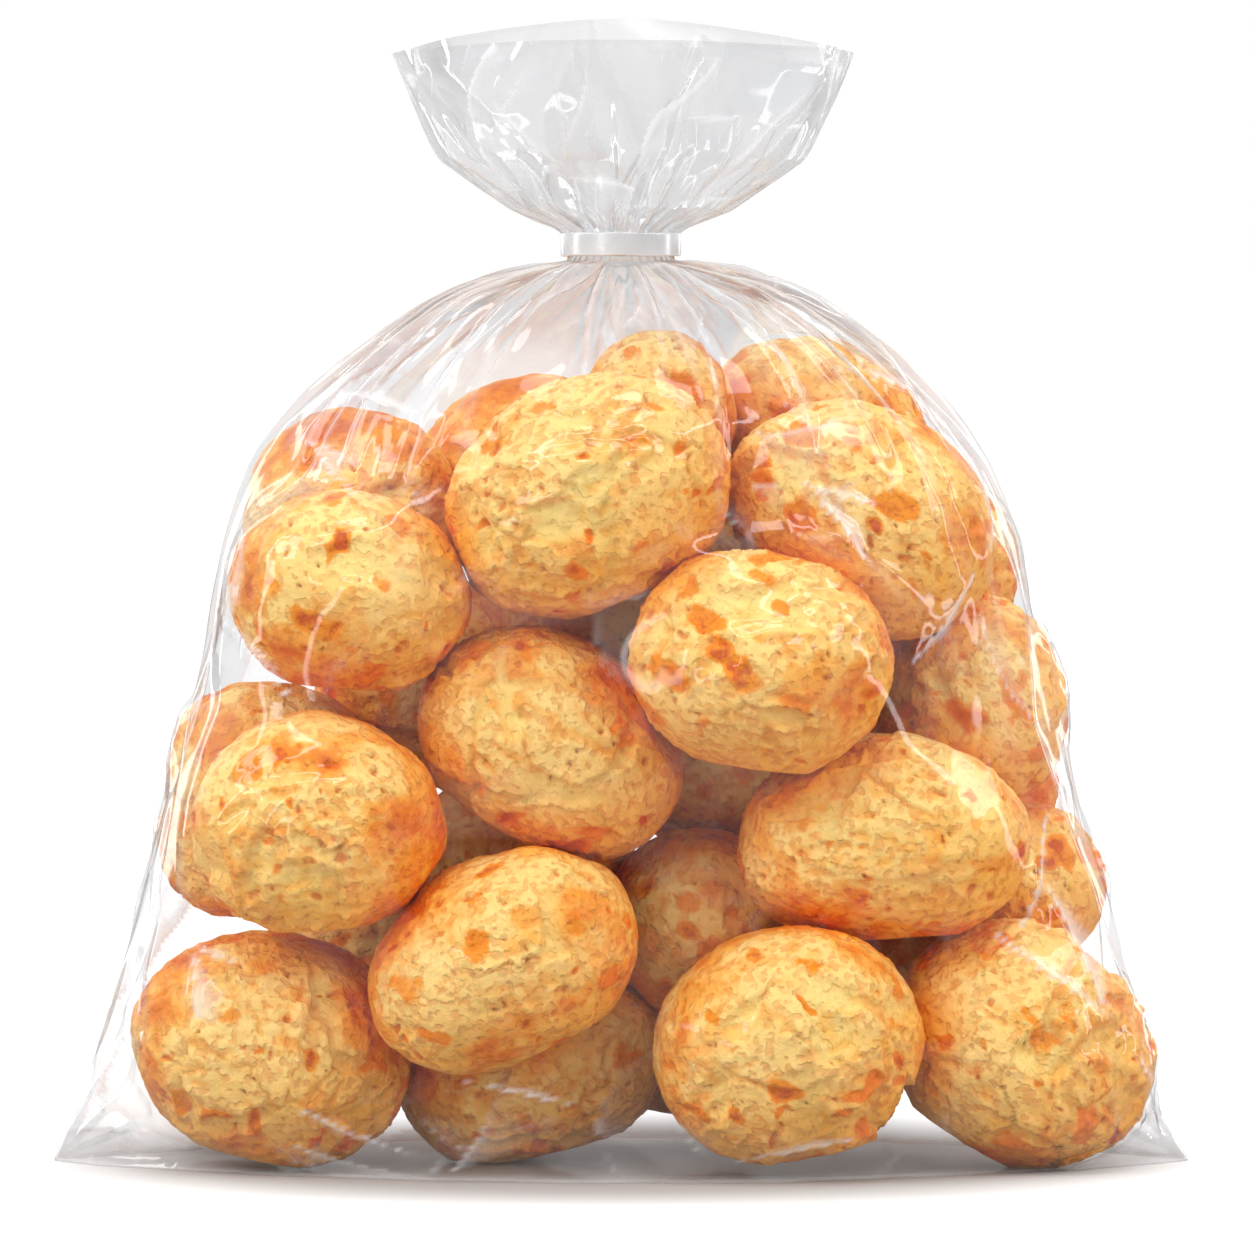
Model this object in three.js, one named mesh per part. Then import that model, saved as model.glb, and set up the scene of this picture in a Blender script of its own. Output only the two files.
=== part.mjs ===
// A clear bag of baked cheese bread balls, gathered at the neck and held by a flat band.
// Millimetres, +Z up, front towards -Y. The origin is on the surface under the middle of the bag.
import * as THREE from "three";
import { LoftGeometry } from "three/addons/geometries/LoftGeometry.js";

// Driving dimensions.
const EAR_SPAN = 226; // tip to tip over the two flat bottom corners of the bag
const BASE_DEPTH = 100; // front to back where the bag lies on the surface
const NECK_WIDTH = 21.2; // the gathered film inside the band, left to right
const NECK_DEPTH = 12.2;
const NECK_BOTTOM = 177; // height at which the shoulders meet the neck
const NECK_TOP = 183;
const BAND_HEIGHT = 4.6;
const BAND_WALL = 0.8;
const BAND_GAP = 0.35; // between the band and the film that it holds
const RUFFLE_TOP = 217.5; // height of the ruffle's two outer corners
const RUFFLE_ARCH = 7.2; // how much higher the rim is in the middle than at its corners
const RUFFLE_WALL = 1.2; // stands for the loose film of the open ruffle
const HOLLOW_BOTTOM = 192; // height at which the ruffle's gathered inside closes

const CORNER_POINT = 1.9; // how sharply the flat bottom corners are drawn out: 1 is a plain oval
const CORNER_FADE = 34; // height at which the body has become a plain oval

const SIDES = 64; // points round each section
const PLEATS = 16; // folds that run out of the neck, up and down
const BODY_PLEAT = 1.6; // how deep they are below the neck, and how far down they reach
const BODY_PLEAT_REACH = 45;
const RUFFLE_PLEAT = 1.3; // the same above it, where they grow from nothing at the band
const RUFFLE_PLEAT_REACH = 12;
const SMOOTH_COLLAR = 2; // height without pleats, right below the neck
const BODY_STATIONS = 22;
const RUFFLE_STATIONS = 7;

// Half width, half depth and height of the outline, held as the x, y and z of a point.
const station = (halfWidth, halfDepth, height) => new THREE.Vector3(halfWidth, halfDepth, height);

// The filled body: wide pointed corners below, straight sides, round shoulders and a narrow neck.
const bodyOutline = [
  station(EAR_SPAN / 2, BASE_DEPTH / 2, 0),
  station(105.5, 55.5, 13),
  station(99.5, 57, 32),
  station(89.5, 54, 70),
  station(82, 52, 99),
  station(78, 50, 122),
  station(71, 46, 139),
  station(58.5, 38, 153.5),
  station(41, 26, 166),
  station(24, 14.5, 173.2),
  station(NECK_WIDTH / 2 + 1, NECK_DEPTH / 2 + 1, NECK_BOTTOM - 0.5),
];

// The ruffle above the band: it opens fast, then rises to a wide flat mouth.
const ruffleOutline = [
  station(NECK_WIDTH / 2 + 1.4, NECK_DEPTH / 2 + 1.1, NECK_TOP + 0.6),
  station(21, 10, 186.6),
  station(33.6, 14, 196.6),
  station(41.2, 16.6, 208),
  station(44.8, 18, RUFFLE_TOP),
];

const smooth = (points, steps) => new THREE.CatmullRomCurve3(points, false, "centripetal").getPoints(steps);

// 1 where the film leaves the band, falling to 0 over the given distance from it.
const nearNeck = (height, reach) => {
  const away = height > NECK_TOP ? height - NECK_TOP : NECK_BOTTOM - height;
  return THREE.MathUtils.clamp(1 - away / reach, 0, 1);
};

// One section of the bag. Near the surface its ends are drawn out into the pointed bottom corners.
function sectionOf({ x: halfWidth, y: halfDepth, z: height }, pleatDepth, arch = 0) {
  const pointed = THREE.MathUtils.lerp(CORNER_POINT, 1, THREE.MathUtils.smoothstep(height, 0, CORNER_FADE));
  const points = [];
  for (let i = 0; i < SIDES; i++) {
    const angle = (i / SIDES) * 2 * Math.PI;
    const across = Math.cos(angle);
    const along = Math.sign(Math.sin(angle)) * Math.abs(Math.sin(angle)) ** pointed;
    const fold = 1 + (pleatDepth / halfDepth) * Math.cos(PLEATS * angle);
    const lift = arch * (1 - across * across);
    points.push(new THREE.Vector3(halfWidth * across * fold, halfDepth * along * fold, height + lift));
  }
  return points;
}

function bodySections() {
  return smooth(bodyOutline, BODY_STATIONS).map((s) => {
    const pleated = s.z < NECK_BOTTOM - SMOOTH_COLLAR;
    return sectionOf(s, pleated ? BODY_PLEAT * nearNeck(s.z, BODY_PLEAT_REACH) : 0);
  });
}

function neckSections() {
  const neck = [NECK_BOTTOM, NECK_TOP].map((z) => station(NECK_WIDTH / 2, NECK_DEPTH / 2, z));
  return neck.map((s) => sectionOf(s, 0));
}

// The rim's arch grows from nothing at the band to its full height at the mouth.
const archAt = (height) => RUFFLE_ARCH * THREE.MathUtils.smoothstep(height, NECK_TOP, RUFFLE_TOP);

function ruffleSections(stations, thinner) {
  return stations.map((s) => {
    const inset = station(s.x - thinner, s.y - thinner, s.z);
    return sectionOf(inset, RUFFLE_PLEAT * (1 - nearNeck(s.z, RUFFLE_PLEAT_REACH)), archAt(s.z));
  });
}

// The film and its contents as one closed body. The loft climbs the outside, goes down into the open
// ruffle and closes in one point on the axis there.
function filledBagGeometry() {
  const ruffle = smooth(ruffleOutline, RUFFLE_STATIONS);
  const inside = ruffle.filter((s) => s.z > HOLLOW_BOTTOM).reverse();
  const hollowBottom = Array.from({ length: SIDES }, () => station(0, 0, HOLLOW_BOTTOM));
  const sections = [
    ...bodySections(),
    ...neckSections(),
    ...ruffleSections(ruffle, 0),
    ...ruffleSections(inside, RUFFLE_WALL),
    hollowBottom,
  ];
  return new LoftGeometry(sections, { capStart: true });
}

// A flat band drawn tight round the gathered film.
function bandGeometry() {
  const insideWidth = NECK_WIDTH / 2 + BAND_GAP;
  const insideDepth = NECK_DEPTH / 2 + BAND_GAP;
  const outline = new THREE.Shape();
  outline.absellipse(0, 0, insideWidth + BAND_WALL, insideDepth + BAND_WALL, 0, 2 * Math.PI);
  const hole = new THREE.Path();
  hole.absellipse(0, 0, insideWidth, insideDepth, 0, 2 * Math.PI, true);
  outline.holes.push(hole);
  return new THREE.ExtrudeGeometry(outline, {
    depth: BAND_HEIGHT,
    curveSegments: 40,
    bevelEnabled: false,
  });
}

const film = new THREE.MeshStandardMaterial({
  color: 0xeec27a,
  roughness: 0.35,
  metalness: 0,
  transparent: true,
  opacity: 0.85,
});
const bandPlastic = new THREE.MeshStandardMaterial({ color: 0xdfe0e2, roughness: 0.3, metalness: 0 });

const filledBag = new THREE.Mesh(filledBagGeometry(), film);
filledBag.name = "filled_bag";

const neckBand = new THREE.Mesh(bandGeometry(), bandPlastic);
neckBand.name = "neck_band";
neckBand.position.z = (NECK_BOTTOM + NECK_TOP - BAND_HEIGHT) / 2;

const part = new THREE.Group();
part.add(filledBag, neckBand);

export default part;
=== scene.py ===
import math
import bmesh
import bpy
import numpy as np
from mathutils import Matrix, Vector
from mathutils.bvhtree import BVHTree


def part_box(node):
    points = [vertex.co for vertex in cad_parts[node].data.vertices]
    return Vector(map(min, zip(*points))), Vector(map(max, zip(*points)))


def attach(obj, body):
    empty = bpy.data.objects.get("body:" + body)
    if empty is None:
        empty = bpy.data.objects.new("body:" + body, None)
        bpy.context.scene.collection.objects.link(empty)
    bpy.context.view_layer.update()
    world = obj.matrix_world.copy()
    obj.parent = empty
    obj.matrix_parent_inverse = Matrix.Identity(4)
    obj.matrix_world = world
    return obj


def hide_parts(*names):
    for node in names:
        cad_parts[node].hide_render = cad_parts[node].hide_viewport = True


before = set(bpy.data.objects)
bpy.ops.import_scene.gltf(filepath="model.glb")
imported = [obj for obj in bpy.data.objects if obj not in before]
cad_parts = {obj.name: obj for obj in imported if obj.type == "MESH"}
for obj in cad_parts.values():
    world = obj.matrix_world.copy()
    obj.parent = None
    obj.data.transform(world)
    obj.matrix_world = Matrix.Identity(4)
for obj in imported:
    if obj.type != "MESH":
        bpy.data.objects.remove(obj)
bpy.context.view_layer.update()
mm = 0.001
scene = bpy.context.scene

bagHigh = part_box("filled_bag")[1]
bandLow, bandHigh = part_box("neck_band")
earReach = bagHigh.x / mm  # half the span over the two bottom corners
neckLow = bandLow.z / mm
neckHigh = bandHigh.z / mm


def colour(red, green, blue):
    # screen colour 0..255 to the linear values that Blender mixes with
    shares = [value / 255 for value in (red, green, blue)]
    return tuple(s / 12.92 if s <= 0.04045 else ((s + 0.055) / 1.055) ** 2.4 for s in shares) + (1,)


def ease(low, high, value):
    part = np.clip((value - low) / (high - low), 0, 1)
    return part * part * (3 - 2 * part)


def latticeValue(cells, seed):
    # one repeatable value in -1..1 for each whole-number lattice point
    mixed = cells[..., 0] * 73856093 ^ cells[..., 1] * 19349663 ^ cells[..., 2] * 83492791 ^ seed * 40503
    mixed = ((mixed & 0x7FFFFFFF) ^ (mixed >> 15 & 0xFFFF)) * 739982445 & 0x7FFFFFFF
    mixed = (mixed ^ mixed >> 12) * 297121507 & 0x7FFFFFFF
    return (mixed >> 8 & 0xFFFF) / 32767.5 - 1


def softNoise(points, size, seed):
    scaled = points / size + seed * 0.37
    cells = np.floor(scaled).astype(np.int64)
    part = scaled - cells
    blend = part ** 3 * (part * (part * 6 - 15) + 10)
    total = np.zeros(len(points))
    for corner in np.ndindex(2, 2, 2):
        weight = np.prod(np.where(corner, blend, 1 - blend), axis=1)
        total += weight * latticeValue(cells + corner, seed)
    return total


def roughNoise(points, size, seed, layers=3):
    total = np.zeros(len(points))
    for layer in range(layers):
        total += softNoise(points, size / 2.1 ** layer, seed + 31 * layer) * 0.5 ** layer
    return total


def noiseGrid(grid, size, seed):
    return softNoise(grid.reshape(-1, 3), size, seed).reshape(grid.shape[:2])


def noiseVector(points, size, seed):
    return np.stack([softNoise(points, size, seed + 7 * axis) for axis in range(3)], axis=1)


def meshPiece(name, points, faces, material, masks=None):
    mesh = bpy.data.meshes.new(name)
    mesh.from_pydata((points * mm).tolist(), [], faces.tolist())
    mesh.polygons.foreach_set("use_smooth", [True] * len(mesh.polygons))
    for label, values in (masks or {}).items():
        mesh.attributes.new(label, "FLOAT", "POINT").data.foreach_set("value", values.astype(np.float32))
    mesh.materials.append(material)
    mesh.update()
    piece = bpy.data.objects.new(name, mesh)
    scene.collection.objects.link(piece)
    return piece


studio = {
    "cameraFar": 1.9,       # metres from the middle of the bag
    "cameraRise": 2.4,      # degrees above level
    "aim": (0.0012, 0, 0.105),
    "frameWide": 0.2459,    # metres that the picture spans at the middle of the bag
    "skyAround": 0.50,      # soft grey light from all round
    "roomMirrored": 0.12,   # the dim room on the camera's side, as the film mirrors it
    "backdropMirrored": 0.95,
    "floorShade": 0.46,
    "floorGlow": 0.9,       # keeps the far floor as white as the air behind it
    "paintedShadowOval": (0.083, 0.066),  # half width and depth in metres of the oval round the bag that the glow leaves out, a painted shadow
    "glowFull": 1.78,        # times that oval, where the glow is full and the painted shadow ends
}


def makeCamera():
    aim = Vector(studio["aim"])
    rise = math.radians(studio["cameraRise"])
    data = bpy.data.cameras.new("camera")
    data.sensor_width = 36
    data.lens = 36 * studio["cameraFar"] / studio["frameWide"]
    data.clip_start = 0.05
    data.clip_end = 200
    camera = bpy.data.objects.new("camera", data)
    camera.location = aim + Vector((0, -math.cos(rise), math.sin(rise))) * studio["cameraFar"]
    camera.rotation_euler = (aim - camera.location).to_track_quat("-Z", "Y").to_euler()
    scene.collection.objects.link(camera)
    scene.camera = camera


def softbox(name, place, aim, size, power, mirrored=True):
    # a width and height make a strip, one number makes a round lamp
    data = bpy.data.lights.new(name, "AREA")
    if isinstance(size, tuple):
        data.shape = "RECTANGLE"
        data.size, data.size_y = size
    else:
        data.shape = "DISK"
        data.size = size
    data.energy = power
    lamp = bpy.data.objects.new(name, data)
    lamp.visible_glossy = mirrored
    lamp.location = place
    lamp.rotation_euler = (Vector(aim) - Vector(place)).to_track_quat("-Z", "Y").to_euler()
    scene.collection.objects.link(lamp)


def makeLights():
    middle = (0, 0, 0.1)
    # the big soft lamps only light the bread, so that no haze lies on the film
    softbox("key_left", (-0.8, -0.9, 1.0), middle, 1.6, 7.95, mirrored=False)
    softbox("fill_right", (1.1, -0.9, 0.6), middle, 1.5, 4.45, mirrored=False)
    softbox("top", (0.1, 0.25, 1.3), middle, 1.4, 7.0, mirrored=False)
    # smaller ones and strips give the glints
    softbox("glint_left", (-1.0, -0.7, 0.9), middle, (0.34, 0.5), 2.8)
    softbox("glint_right", (1.0, -0.6, 0.8), middle, (0.26, 0.45), 1.8)
    softbox("glint_top", (0.15, -0.45, 1.3), middle, (0.6, 0.25), 2.0)
    softbox("strip_left", (-1.0, -0.35, 0.45), middle, (0.09, 1.2), 2.0)
    softbox("strip_right", (1.05, -0.25, 0.5), middle, (0.09, 1.2), 2.0)
    softbox("strip_top", (0.0, -0.75, 1.0), middle, (1.2, 0.06), 1.6)
    softbox("strip_low", (-0.5, -1.1, 0.12), middle, (0.06, 0.9), 0.9)
    softbox("back_left", (-0.8, 0.9, 0.5), middle, (0.3, 1.0), 2.2)
    softbox("back_right", (0.8, 0.95, 0.5), middle, (0.3, 1.0), 2.2)


def makeWorld():
    world = bpy.data.worlds.new("studio")
    scene.world = world
    world.use_nodes = True
    nodes, links = world.node_tree.nodes, world.node_tree.links
    nodes.clear()
    seen = nodes.new("ShaderNodeBackground")
    seen.inputs["Color"].default_value = (1, 1, 1, 1)
    seen.inputs["Strength"].default_value = 1.0
    around = nodes.new("ShaderNodeBackground")
    around.inputs["Color"].default_value = (1, 1, 1, 1)
    path = nodes.new("ShaderNodeLightPath")
    split = nodes.new("ShaderNodeSeparateXYZ")
    links.new(nodes.new("ShaderNodeTexCoord").outputs["Generated"], split.inputs[0])
    behind = stepUp(nodes, links, split.outputs["Y"], -0.45, 0.55)
    more = studio["backdropMirrored"] - studio["roomMirrored"]
    mirrored = mathNode(nodes, links, "MULTIPLY_ADD", behind, more, studio["roomMirrored"])
    mirrored = mathNode(nodes, links, "SUBTRACT", mirrored, studio["skyAround"])
    glossy = path.outputs["Is Glossy Ray"]
    strength = mathNode(nodes, links, "MULTIPLY_ADD", glossy, mirrored, studio["skyAround"])
    links.new(strength, around.inputs["Strength"])
    mix = nodes.new("ShaderNodeMixShader")
    out = nodes.new("ShaderNodeOutputWorld")
    links.new(path.outputs["Is Camera Ray"], mix.inputs[0])
    links.new(around.outputs[0], mix.inputs[1])
    links.new(seen.outputs[0], mix.inputs[2])
    links.new(mix.outputs[0], out.inputs["Surface"])


def makeFloor():
    material, nodes, links = newMaterial("studio_floor")
    shader = nodes["Principled BSDF"]
    shade = studio["floorShade"]
    shader.inputs["Base Color"].default_value = (shade, shade, shade, 1)
    shader.inputs["Roughness"].default_value = 0.9
    shader.inputs["Specular IOR Level"].default_value = 0.1
    # away from the bag the floor glows as white as the air, so that no horizon shows; near the bag the glow
    # is left out, which paints a soft shadow round it
    across, along = studio["paintedShadowOval"]
    scaled = nodes.new("ShaderNodeVectorMath")
    scaled.operation = "MULTIPLY"
    scaled.inputs[1].default_value = (1 / across, 1 / along, 0)
    links.new(nodes.new("ShaderNodeTexCoord").outputs["Object"], scaled.inputs[0])
    away = nodes.new("ShaderNodeVectorMath")
    away.operation = "LENGTH"
    links.new(scaled.outputs[0], away.inputs[0])
    outer = stepUp(nodes, links, away.outputs["Value"], 0.85, studio["glowFull"])
    glow = mathNode(nodes, links, "MULTIPLY", outer, studio["floorGlow"])
    seen = nodes.new("ShaderNodeLightPath").outputs["Is Camera Ray"]
    shader.inputs["Emission Color"].default_value = (1, 1, 1, 1)
    links.new(mathNode(nodes, links, "MULTIPLY", glow, seen), shader.inputs["Emission Strength"])
    half = 30000
    corners = np.array([(-half, -half, 0), (half, -half, 0), (half, half, 0), (-half, half, 0)], float)
    floor = meshPiece("floor", corners, np.array([[0, 1, 2, 3]]), material)


def newMaterial(name):
    material = bpy.data.materials.new(name)
    material.use_nodes = True
    return material, material.node_tree.nodes, material.node_tree.links


def newGroup(name, inputs, outputs):
    tree = bpy.data.node_groups.new(name, "ShaderNodeTree")
    for label, kind, value in inputs:
        socket = tree.interface.new_socket(name=label, in_out="INPUT", socket_type=kind)
        socket.default_value = value
    for label, kind in outputs:
        tree.interface.new_socket(name=label, in_out="OUTPUT", socket_type=kind)
    return tree, tree.nodes.new("NodeGroupInput"), tree.nodes.new("NodeGroupOutput")


def placeGroup(nodes, tree, **values):
    node = nodes.new("ShaderNodeGroup")
    node.node_tree = tree
    for label, value in values.items():
        node.inputs[label].default_value = value
    return node


def mathNode(nodes, links, kind, first, second=None, third=None):
    node = nodes.new("ShaderNodeMath")
    node.operation = kind
    for slot, value in enumerate((first, second, third)):
        if value is None:
            continue
        if isinstance(value, (int, float)):
            node.inputs[slot].default_value = value
        else:
            links.new(value, node.inputs[slot])
    return node.outputs[0]


def mixColour(nodes, links, share, first, second, blend="MIX"):
    node = nodes.new("ShaderNodeMix")
    node.data_type = "RGBA"
    node.blend_type = blend
    links.new(share, node.inputs[0])
    for socket, value in ((node.inputs[6], first), (node.inputs[7], second)):
        if isinstance(value, tuple):
            socket.default_value = value
        else:
            links.new(value, socket)
    return node.outputs[2]


def stepUp(nodes, links, value, low, high):
    node = nodes.new("ShaderNodeMapRange")
    node.interpolation_type = "SMOOTHSTEP"
    links.new(value, node.inputs["Value"])
    node.inputs["From Min"].default_value = low
    node.inputs["From Max"].default_value = high
    return node.outputs["Result"]


def noiseNode(nodes, links, place, scale, detail=3.0, roughness=0.55):
    node = nodes.new("ShaderNodeTexNoise")
    node.inputs["Scale"].default_value = scale
    node.inputs["Detail"].default_value = detail
    node.inputs["Roughness"].default_value = roughness
    links.new(place, node.inputs["Vector"])
    return node.outputs["Fac"]


def maskNode(nodes, label):
    # a mask that the mesh carries at its points
    node = nodes.new("ShaderNodeAttribute")
    node.attribute_name = label
    return node.outputs["Fac"]


def addBump(nodes, links, shader, height, strength, distance):
    bump = nodes.new("ShaderNodeBump")
    bump.inputs["Strength"].default_value = strength
    bump.inputs["Distance"].default_value = distance
    links.new(height, bump.inputs["Height"])
    links.new(bump.outputs["Normal"], shader.inputs["Normal"])


def makeSpeckleGroup():
    # fine dots and grain: crumb on the crust, dust and tiny scuffs on the plastic
    tree, given, made = newGroup(
        "speckle",
        [("Vector", "NodeSocketVector", (0, 0, 0)), ("Size", "NodeSocketFloat", 500.0),
         ("Cover", "NodeSocketFloat", 0.4)],
        [("Dots", "NodeSocketFloat"), ("Grain", "NodeSocketFloat")],
    )
    nodes, links = tree.nodes, tree.links
    dots = nodes.new("ShaderNodeTexNoise")
    dots.inputs["Detail"].default_value = 1
    links.new(given.outputs["Vector"], dots.inputs["Vector"])
    links.new(given.outputs["Size"], dots.inputs["Scale"])
    edge = mathNode(nodes, links, "SUBTRACT", 0.8, given.outputs["Cover"])
    above = mathNode(nodes, links, "SUBTRACT", dots.outputs["Fac"], edge)
    dotted = mathNode(nodes, links, "MULTIPLY", above, 9)
    clamp = nodes.new("ShaderNodeClamp")
    links.new(dotted, clamp.inputs["Value"])
    links.new(clamp.outputs[0], made.inputs["Dots"])
    finer = mathNode(nodes, links, "MULTIPLY", given.outputs["Size"], 2.7)
    grain = nodes.new("ShaderNodeTexNoise")
    grain.inputs["Detail"].default_value = 2
    grain.inputs["Roughness"].default_value = 0.65
    links.new(given.outputs["Vector"], grain.inputs["Vector"])
    links.new(finer, grain.inputs["Scale"])
    links.new(grain.outputs["Fac"], made.inputs["Grain"])
    return tree


def makeCrustMaterial(speckle):
    look = {
        "dough": colour(255, 218, 134),
        "crust": colour(250, 182, 82),
        "golden": colour(238, 140, 40),
        "toasted": colour(212, 98, 20),
        "torn": colour(255, 225, 138),
        "pit": colour(222, 116, 22),
        "cheese": colour(246, 152, 34),
        "scorch": colour(212, 96, 34),
        "paintedShadeTint": (1, 0.55, 0.06, 1),  # painted shade: multiplies the crust on the side away from the key lamp, between balls, in flake hollows and in narrow cracks
        "dotCover": 0.36,   # how strongly each kind of mark covers the crust
        "tearCover": 0.8,
        "pitCover": 0.72,
        "dull": 0.60,       # roughness of dry crust and of melted cheese
        "glossy": 0.34,
        "specular": 0.20,
        "bumpStrength": 0.85,
        "bump": 0.0008,     # metres
        "grainSize": 560.0,
        "grainCover": 0.29,
    }
    material, nodes, links = newMaterial("baked_crust")
    shader = nodes["Principled BSDF"]
    place = nodes.new("ShaderNodeTexCoord").outputs["Object"]
    toast, tear, pit, cheese, paintedShade = [
        maskNode(nodes, label) for label in ("toast", "tear", "pit", "cheese", "paintedShade")]
    fine = noiseNode(nodes, links, place, 430, 3, 0.66)
    crumb = placeGroup(nodes, speckle, Size=look["grainSize"], Cover=look["grainCover"])
    links.new(place, crumb.inputs["Vector"])

    browned = mathNode(nodes, links, "MULTIPLY_ADD", fine, 0.55, toast)
    baked = stepUp(nodes, links, browned, 0.20, 0.62)
    paint = mixColour(nodes, links, baked, look["dough"], look["crust"])
    paint = mixColour(nodes, links, stepUp(nodes, links, browned, 0.60, 1.05), paint, look["golden"])
    paint = mixColour(nodes, links, stepUp(nodes, links, browned, 1.02, 1.45), paint, look["toasted"])
    dotted = mathNode(nodes, links, "MULTIPLY", crumb.outputs["Dots"], look["dotCover"])
    paint = mixColour(nodes, links, dotted, paint, look["pit"])
    torn = mathNode(nodes, links, "MULTIPLY", tear, look["tearCover"])
    paint = mixColour(nodes, links, torn, paint, look["torn"])
    # pits take the darker pit colour; so do the hollows of the flaky crust and the narrow cracks, which is
    # painted shade
    pitsAndPaintedHollowShade = mathNode(nodes, links, "MULTIPLY_ADD", fine, 0.7, pit)
    pitsAndPaintedHollowShade = stepUp(nodes, links, pitsAndPaintedHollowShade, 0.55, 1.30)
    pitsAndPaintedHollowShade = mathNode(nodes, links, "MULTIPLY", pitsAndPaintedHollowShade, look["pitCover"])
    paint = mixColour(nodes, links, pitsAndPaintedHollowShade, paint, look["pit"])
    melted = mathNode(nodes, links, "ADD", fine, cheese)
    paint = mixColour(nodes, links, stepUp(nodes, links, melted, 0.75, 1.25), paint, look["cheese"])
    paint = mixColour(nodes, links, stepUp(nodes, links, melted, 1.35, 1.75), paint, look["scorch"])
    # painted shade: the crust turns deeper orange away from the key lamp, between balls and in hollows
    paint = mixColour(nodes, links, paintedShade, paint, look["paintedShadeTint"], blend="MULTIPLY")
    links.new(paint, shader.inputs["Base Color"])

    gloss = nodes.new("ShaderNodeMapRange")
    links.new(melted, gloss.inputs["Value"])
    gloss.inputs["To Min"].default_value = look["dull"]
    gloss.inputs["To Max"].default_value = look["glossy"]
    links.new(gloss.outputs["Result"], shader.inputs["Roughness"])
    shader.inputs["Specular IOR Level"].default_value = look["specular"]

    relief = mathNode(nodes, links, "MULTIPLY_ADD", crumb.outputs["Dots"], -0.30, fine)
    addBump(nodes, links, shader, relief, look["bumpStrength"], look["bump"])
    return material


def makeFilmMaterial(speckle):
    look = {
        "single": (0.965, 0.966, 0.970, 1),   # one layer of film
        "foldsAndPaintedShade": (0.80, 0.804, 0.814, 1),    # gathered layers, and painted shade on crumpled facets and under the bag
        "milk": (0.93, 0.935, 0.95, 1),
        "milkLeast": 0.004,
        "milkFolded": 0.075,
        "milkPaintedGlint": 0.55,
        "milkOpen": 0.06,
        "gloss": 0.07,
        "mirror": 1.15,      # against the Fresnel share: a film has two faces
        "mirrorFolded": 0.9,   # more of that where it is gathered
        "mirrorMost": 0.36,
        "insideMirror": 0.16,
        "refraction": 1.5,
        "dust": 0.012,
    }
    material, nodes, links = newMaterial("clear_film")
    nodes.remove(nodes["Principled BSDF"])
    place = nodes.new("ShaderNodeTexCoord").outputs["Object"]
    foldsAndPaintedShade, hemAndPaintedGlint, opened = [maskNode(nodes, label) for label in ("foldsAndPaintedShade", "hemAndPaintedGlint", "open")]
    marks = placeGroup(nodes, speckle, Size=170.0, Cover=0.28)
    links.new(place, marks.inputs["Vector"])

    clear = nodes.new("ShaderNodeBsdfTransparent")
    tint = mixColour(nodes, links, foldsAndPaintedShade, look["single"], look["foldsAndPaintedShade"])
    links.new(tint, clear.inputs["Color"])
    shine = nodes.new("ShaderNodeBsdfGlossy")
    shine.inputs["Roughness"].default_value = look["gloss"]
    milky = nodes.new("ShaderNodeBsdfDiffuse")
    milky.inputs["Color"].default_value = look["milk"]

    veil = mathNode(nodes, links, "MULTIPLY_ADD", marks.outputs["Dots"], look["dust"], look["milkLeast"])
    veil = mathNode(nodes, links, "MULTIPLY_ADD", foldsAndPaintedShade, look["milkFolded"], veil)
    # a white veil on the creases, darts, facets, bottom edge and rim paints glints and highlight lines
    veil = mathNode(nodes, links, "MULTIPLY_ADD", hemAndPaintedGlint, look["milkPaintedGlint"], veil)
    veil = mathNode(nodes, links, "MULTIPLY_ADD", opened, look["milkOpen"], veil)
    body = nodes.new("ShaderNodeMixShader")
    links.new(veil, body.inputs[0])
    links.new(clear.outputs[0], body.inputs[1])
    links.new(milky.outputs[0], body.inputs[2])

    # the outside mirrors the studio, the inside only a little of what it holds
    edge = nodes.new("ShaderNodeFresnel")
    edge.inputs["IOR"].default_value = look["refraction"]
    inside = nodes.new("ShaderNodeNewGeometry").outputs["Backfacing"]
    full = mathNode(nodes, links, "SUBTRACT", 1.0, inside)
    full = mathNode(nodes, links, "MAXIMUM", full, opened)
    full = mathNode(nodes, links, "MAXIMUM", full, look["insideMirror"])
    share = mathNode(nodes, links, "MULTIPLY_ADD", foldsAndPaintedShade, look["mirrorFolded"], look["mirror"])
    share = mathNode(nodes, links, "MULTIPLY", share, edge.outputs[0])
    share = mathNode(nodes, links, "MULTIPLY", share, full)
    share = mathNode(nodes, links, "MINIMUM", share, look["mirrorMost"])
    film = nodes.new("ShaderNodeMixShader")
    links.new(share, film.inputs[0])
    links.new(body.outputs[0], film.inputs[1])
    links.new(shine.outputs[0], film.inputs[2])
    links.new(film.outputs[0], nodes["Material Output"].inputs["Surface"])
    return material


def makeBandMaterial(speckle):
    look = {
        "plain": colour(230, 231, 233),
        "scuffed": colour(220, 221, 224),
        "scuffSize": 70.0,
        "scuffCover": 0.32,
        "smoothest": 0.18,
        "metallic": 0.35,    # a thin silvery sheen
        "bumpStrength": 0.15,
        "bump": 0.0002,      # metres
    }
    material, nodes, links = newMaterial("neck_band_plastic")
    shader = nodes["Principled BSDF"]
    place = nodes.new("ShaderNodeTexCoord").outputs["Object"]
    marks = placeGroup(nodes, speckle, Size=look["scuffSize"], Cover=look["scuffCover"])
    links.new(place, marks.inputs["Vector"])
    paint = mixColour(nodes, links, marks.outputs["Dots"], look["plain"], look["scuffed"])
    links.new(paint, shader.inputs["Base Color"])
    rough = mathNode(nodes, links, "MULTIPLY_ADD", marks.outputs["Grain"], 0.16, look["smoothest"])
    links.new(rough, shader.inputs["Roughness"])
    shader.inputs["Metallic"].default_value = look["metallic"]
    addBump(nodes, links, shader, marks.outputs["Grain"], look["bumpStrength"], look["bump"])
    return material


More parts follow.
